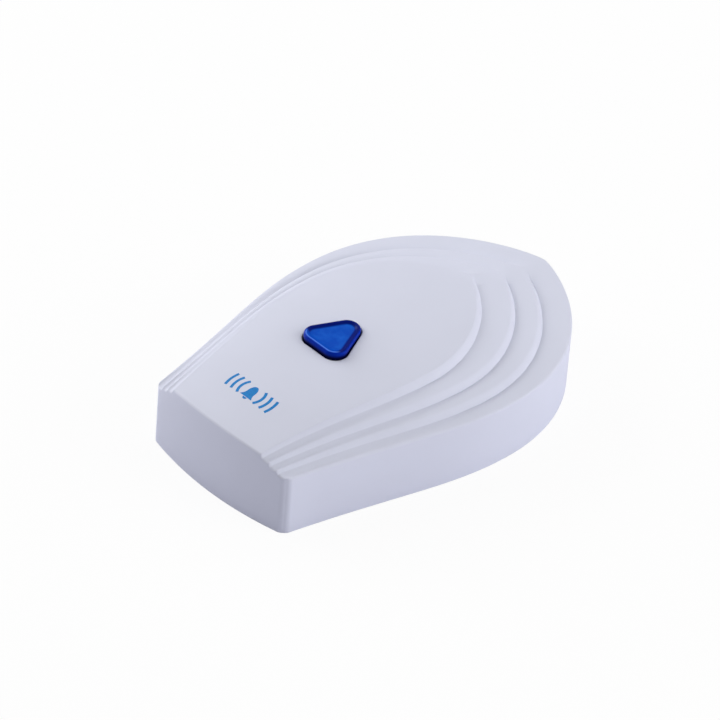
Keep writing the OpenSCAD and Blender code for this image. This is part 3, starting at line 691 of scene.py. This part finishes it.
def bell_shape():
    """Bell body: rows from the mouth to the crown, closer together there, whose half width flares as a
    square from the waist to the mouth and closes nearly as a quarter ellipse at the crown."""
    height = 1 - (1 - np.linspace(0, 1, BELL_ROWS)) ** CROWN_CROWDING
    flare = mix(BELL_WAIST, 1, np.clip(1 - height / FLARE_TOP, 0, 1) ** 2)
    into_crown = np.clip(height - CROWN_FOOT, 0, 1) / (1 - CROWN_FOOT)
    crown = np.sqrt(np.clip(1 - into_crown**CROWN_POWER, 0, 1))
    half = BELL_HALF_WIDTH * flare * crown
    x = half[:, None] * np.linspace(-1, 1, BELL_COLUMNS)
    y = SIGN_Y + BELL_HEIGHT * (height[:, None] - 0.5) + 0 * x
    return printed(np.dstack((x, y)))


def ring_sector(middle, inner, outer, first, last):
    """Part of a flat ring between two radii and two angles."""
    radius = np.linspace(inner, outer, RING_ROWS)[:, None]
    turn = np.linspace(first, last, RING_COLUMNS)
    return printed(np.dstack((middle[0] + radius * np.cos(turn), middle[1] + radius * np.sin(turn))))


SIGN_BLUE = (0.006, 0.21, 0.58)
INK_GRAIN = 2600.0
sign_ink, ink_at, ink_link = new_finish("blue_ink", Roughness=0.55, Specular_IOR_Level=0.3)
ink_link(clouded(ink_at.noise(INK_GRAIN), SIGN_BLUE, (0.9, 1.1)), "Base Color")
clapper = ring_sector((0, SIGN_Y - BELL_HEIGHT / 2 - CLAPPER_GAP), 0.0, CLAPPER_RADIUS, np.pi, 2 * np.pi)
arc_spreads = np.arcsin(ARC_HALF_HEIGHT / np.array(ARC_RADII))
sound_arcs = [ring_sector((0, SIGN_Y), radius - ARC_STROKE / 2, radius + ARC_STROKE / 2,
                          side - spread, side + spread)
              for radius, spread in zip(ARC_RADII, arc_spreads) for side in (0, np.pi)]
sign_grids = [(grid, False) for sheet in (bell_shape(), clapper, *sound_arcs) for grid in ink_film(sheet)]
make_piece("bell_sign", sign_grids, "case", sign_ink)

# The back plate. A flat moulding in the same white plastic, left with a fine spark-eroded texture; it
# snaps into the lip of the cover, and two screws hold it to the wall.


def dress(material, *nodes):
    """Gives CAD nodes a finish in place of their plain one."""
    for node in nodes:
        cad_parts[node].data.materials.clear()
        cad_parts[node].data.materials.append(material)


BACK_COLOUR = (0.7, 0.715, 0.765)
SPARK_GRAIN = 3800.0
SPARK_HEIGHT = 0.00003
back_white, back_at, back_link = new_finish("textured_white_back")
back_grain = back_at.noise(SPARK_GRAIN, 4.0)
back_link(clouded(back_grain, BACK_COLOUR, (0.96, 1.0), (0.35, 0.65)), "Base Color")
back_link(0.5 + 0.2 * back_grain, "Roughness")
back_link(back_grain.bump(SPARK_HEIGHT), "Normal")
dress(back_white, "back_plate")

# The circuit board. Glass laminate under green solder mask, through which the copper tracks show as
# paler lines; three screws hold it to bosses under the face.
MASK_GREEN = (0.012, 0.13, 0.05)
TRACK_GREEN = (0.03, 0.22, 0.085)
MASK_SHEEN = 700.0
board_green, board_at, board_link = new_finish("green_solder_mask", Coat_Weight=0.3)
tracks = board_at.node("ShaderNodeTexBrick", {"offset": 0.35},
                       {"Vector": board_at, "Color1": (*MASK_GREEN, 1),
                        "Color2": (*toned(MASK_GREEN, 1.15), 1), "Mortar": (*TRACK_GREEN, 1),
                        "Scale": 160.0, "Mortar Size": 0.05, "Brick Width": 0.9})
board_link(tracks, "Base Color")
board_link(0.3 + 0.15 * board_at.noise(MASK_SHEEN), "Roughness")
dress(board_green, "circuit_board")

# The push switch, the chips and the small parts of the board. Black mouldings and resin, tinned legs,
# a nickel-plated resonator can, wound copper wire, a clear lamp and a can capacitor.
SPECK_HEIGHT = 0.00001
DRAWN_MARKS = 1800.0


def moulding(name, colour, roughness, grain):
    """Plastic or resin: slight cloudiness, and a fine grain with that many grains to the metre."""
    material, at, link = new_finish(name)
    speck = at.noise(grain, 3.0)
    link(clouded(speck, colour, (0.85, 1.15), (0.35, 0.65)), "Base Color")
    link(roughness - 0.05 + 0.1 * speck, "Roughness")
    link(speck.bump(SPECK_HEIGHT), "Normal")
    return material


def plated(name, colour, roughness, stretch):
    """Metal: fine marks drawn out along the axis whose stretch is small, in colour and roughness."""
    material, at, link = new_finish(name, Metallic=1.0)
    drawn = at.node("ShaderNodeMapping", None, {"Vector": at, "Scale": stretch}).noise(DRAWN_MARKS, 3.0)
    link(clouded(drawn, colour, (0.88, 1.05)), "Base Color")
    link(roughness - 0.08 + 0.16 * drawn, "Roughness")
    return material


ALL_WAYS = (1.0, 1.0, 1.0)
UP_MARKS = (1.0, 1.0, 0.1)
LONG_MARKS = (0.08, 1.0, 1.0)
black_moulding = moulding("black_moulding", (0.022, 0.022, 0.025), 0.45, 2600.0)
chip_resin = moulding("chip_resin", (0.016, 0.016, 0.018), 0.6, 6000.0)
ceramic = moulding("tan_ceramic", (0.42, 0.3, 0.16), 0.55, 4200.0)
tinned = plated("tinned_steel", (0.7, 0.71, 0.72), 0.34, UP_MARKS)
dress(black_moulding, "switch_base", "switch_plunger", "capacitor_base")
dress(chip_resin, "encoder_chip", "rf_transistor", *(f"chip_resistor_{i}" for i in range(1, 5)))
dress(ceramic, *(f"chip_capacitor_{i}" for i in range(1, 5)))
dress(tinned, "switch_frame", "switch_legs", "chip_legs", "resonator_leads", "transistor_legs", "led_leads")
dress(plated("nickel_can", (0.74, 0.74, 0.74), 0.25, ALL_WAYS), "saw_resonator")
dress(plated("can_aluminium", (0.78, 0.79, 0.8), 0.3, UP_MARKS), "reservoir_capacitor")
dress(plated("copper_wire", (0.72, 0.34, 0.16), 0.28, ALL_WAYS), "antenna_coil")

LENS_COLOUR = (0.75, 0.83, 0.93)
LENS_CLOUDS = 900.0
LENS_SHEEN = 1500.0
lens_clear, lens_at, lens_link = new_finish("clear_epoxy", Transmission_Weight=0.7, IOR=1.54)
lens_link(clouded(lens_at.noise(LENS_CLOUDS), LENS_COLOUR, (0.95, 1.0)), "Base Color")
lens_link(0.08 + 0.06 * lens_at.noise(LENS_SHEEN), "Roughness")
dress(lens_clear, "indicator_led")

# The battery and its contacts. A small 12 V cell in a plain printed steel can, between a nickel-plated
# strip and a cone spring; screws of zinc-plated steel hold the board.
dress(plated("printed_can", (0.05, 0.055, 0.07), 0.32, LONG_MARKS), "battery_can")
dress(moulding("blue_seal", (0.02, 0.1, 0.36), 0.4, 2600.0), "battery_seal")
dress(plated("tinned_terminal", (0.7, 0.71, 0.72), 0.3, LONG_MARKS), "battery_terminal")
dress(plated("nickel_strip", (0.72, 0.72, 0.71), 0.28, UP_MARKS), "positive_contact", "negative_contact",
      "negative_spring")
dress(plated("zinc_screws", (0.62, 0.64, 0.67), 0.3, UP_MARKS), *(f"board_screw_{i}" for i in range(1, 4)))

# The table and the light. A white table that shows as white to the camera but still takes the shadow,
# faint light from all round, and six large soft boxes, three on the left, two on the right, one behind.
TABLE_HALF = 4.0
TABLE_SHADOW = 0.07
TABLE_BOUNCE = (0.76, 0.76, 0.84)
TABLE_SEEN = (0.9, 0.9, 0.9)
SKY_LEVEL = 0.1
SKY_IN_GLOSS = 0.15


def seen(tree):
    """One for rays from the camera or through clear plastic, and nought for light."""
    paths = Wire(tree)
    kinds = [paths.node("ShaderNodeLightPath", out=kind)
             for kind in ("Is Camera Ray", "Is Transmission Ray")]
    return paths.math("MAXIMUM", *kinds)


table_white = bpy.data.materials.new("white_table")
table_white.use_nodes = True
table_tree = table_white.node_tree
table_tree.nodes.clear()
table_shown = seen(table_tree)
table_lit = table_shown.node("ShaderNodeBsdfDiffuse", None,
                             {"Color": blend(table_shown, TABLE_BOUNCE, TABLE_SEEN)})
table_glow = table_shown.node("ShaderNodeEmission", None, {"Color": (1, 1, 1, 1), "Strength": 1.0})
table_share = table_shown * (1 - TABLE_SHADOW)
table_mix = table_lit.node("ShaderNodeMixShader", None, {0: table_share, 1: table_lit, 2: table_glow})
table_out = table_tree.nodes.new("ShaderNodeOutputMaterial")
table_tree.links.new(table_mix.socket, table_out.inputs["Surface"])
table_mesh = bpy.data.meshes.new("white_table")
table_corners = [(x * TABLE_HALF, y * TABLE_HALF, 0) for x, y in ((-1, -1), (1, -1), (1, 1), (-1, 1))]
table_mesh.from_pydata(table_corners, [], [(0, 1, 2, 3)])
table_mesh.materials.append(table_white)
table = add_object("white_table", table_mesh)

sky = bpy.data.worlds.new("studio")
sky.use_nodes = True
sky_tree = sky.node_tree
sky_mirrored = Wire(sky_tree).node("ShaderNodeLightPath", out="Is Glossy Ray")
sky_level = SKY_LEVEL + (1 - SKY_LEVEL) * seen(sky_tree) + (SKY_IN_GLOSS - SKY_LEVEL) * sky_mirrored
sky_tree.links.new(sky_level.socket, sky_tree.nodes["Background"].inputs["Strength"])
sky_tree.nodes["Background"].inputs["Color"].default_value = (1, 1, 1, 1)
scene.world = sky

BOX_DISTANCE = 1.0
BOX_SIDE = 0.8


def soft_box(name, azimuth, elevation, power):
    """Square lamp that faces the object from an azimuth, measured as the camera's is, and an elevation."""
    lamp = bpy.data.lights.new(name, "AREA")
    lamp.size = BOX_SIDE
    lamp.energy = power
    axes = camera_axes(*np.radians((azimuth, elevation, 0)))
    stand(add_object(name, lamp), axes, BOX_DISTANCE * axes[2])


soft_box("left_top_box", -110, 50, 2.2)
soft_box("left_box", -80, 15, 7.55)
soft_box("left_near_box", -50, 30, 2.9)
soft_box("right_top_box", 100, 40, 3.7)
soft_box("right_box", 125, 15, 5.7)
soft_box("far_box", 190, 40, 1.5)
